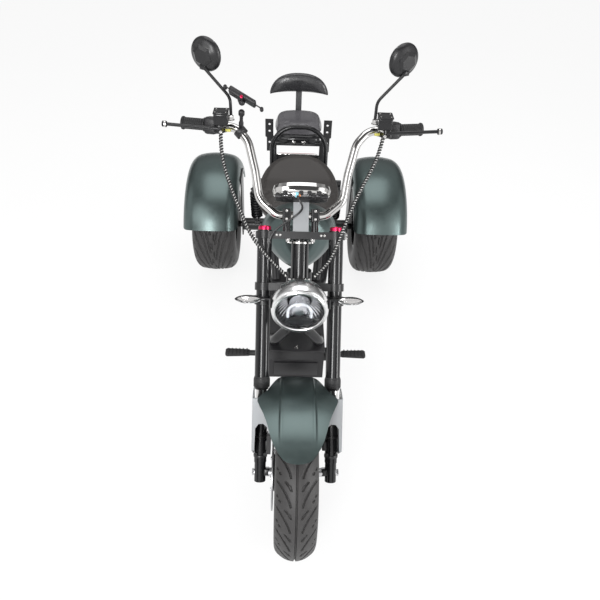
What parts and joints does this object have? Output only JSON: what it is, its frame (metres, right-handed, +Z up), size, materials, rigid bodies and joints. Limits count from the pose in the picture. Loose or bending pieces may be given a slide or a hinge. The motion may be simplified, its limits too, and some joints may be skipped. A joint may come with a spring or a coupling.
{
  "type": "electric tricycle",
  "caption": "Three-wheeled electric cruiser with a raked fork, high handlebar, round lamp, wide rear tyres under mudguards, and seats for a driver and a passenger.",
  "frame": {"origin": "on the ground, at the middle of the outer box", "axes": "+Z up, the front faces -Y, +X to the right of someone who looks at the front"},
  "size_m": [1.01, 1.941, 1.3289],
  "materials": {
    "tyre": "black rubber",
    "guard_paint": "metallic grey-green paint",
    "frame_paint": "gloss black paint",
    "stay_paint": "light grey paint",
    "chrome": "polished chrome",
    "cap_anodise": "red anodised",
    "bare_alloy": "machined",
    "disc_steel": "ground",
    "cast_black": "black coat",
    "black_plastic": "moulded",
    "grip_rubber": "moulded",
    "driver_vinyl": "matt vinyl",
    "passenger_vinyl": "glossy vinyl",
    "lamp_glass": "clear",
    "mirror_glass": "silvered",
    "signal_lens": "clear",
    "red_lens": "red lens"
  },
  "bodies": {
    "chassis": {"head_tube": "frame_paint", "main_frame": "frame_paint", "battery_box": "black_plastic", "foot_pegs": "black_plastic", "body_shell": "guard_paint", "front_seat": "driver_vinyl", "seat_pans": "black_plastic", "grab_hoop": "frame_paint", "rear_seat": "passenger_vinyl", "side_plates": "frame_paint", "backrest_post": "frame_paint", "backrest_pad": "driver_vinyl", "rear_axle": "cast_black", "rear_fender_left": "guard_paint", "rear_fender_right": "guard_paint", "fender_brackets": "frame_paint", "shock_bar": "frame_paint", "rear_shocks": "cast_black", "tail_bar": "frame_paint", "tail_lamp": "red_lens"},
    "steering": {"triple_clamps": "frame_paint", "fork_uppers": "frame_paint", "fork_stanchions": "chrome", "fork_lowers": "cast_black", "fork_caps": "cap_anodise", "front_axle": "bare_alloy", "bar_risers": "bare_alloy", "handlebar": "chrome", "grips": "grip_rubber", "bar_controls": "black_plastic", "brake_levers": "frame_paint", "mirror_shells": "black_plastic", "mirror_glasses": "mirror_glass", "speedometer": "chrome", "dash_bracket": "bare_alloy", "headlight_shell": "chrome", "headlight_lens": "lamp_glass", "turn_signals": "signal_lens", "front_fender": "guard_paint", "fender_stays": "stay_paint", "front_caliper": "cast_black", "phone_holder": "black_plastic", "control_hoses": "black_plastic"},
    "front_wheel": {"front_tyre": "tyre", "front_rim": "frame_paint", "front_disc": "disc_steel"},
    "rear_wheel_left": {"rear_tyre_left": "tyre", "rear_rim_left": "frame_paint"},
    "rear_wheel_right": {"rear_tyre_right": "tyre", "rear_rim_right": "frame_paint"}
  },
  "joints": [
    {"name": "steering_turn", "type": "hinge", "parent": "chassis", "child": "steering", "pos_m": [0, -0.37868, 0.69099], "axis": [0, 0.5736, 0.8192], "range_deg": [-35, 35]},
    {"name": "front_wheel_spin", "type": "hinge", "parent": "steering", "child": "front_wheel", "pos_m": [0, -0.73249, 0.238], "axis": [1, 0, 0], "continuous": true},
    {"name": "rear_wheel_left_spin", "type": "hinge", "parent": "chassis", "child": "rear_wheel_left", "pos_m": [-0.383, 0.65951, 0.229], "axis": [1, 0, 0], "continuous": true},
    {"name": "rear_wheel_right_spin", "type": "hinge", "parent": "chassis", "child": "rear_wheel_right", "pos_m": [0.383, 0.65951, 0.229], "axis": [1, 0, 0], "continuous": true}
  ]
}
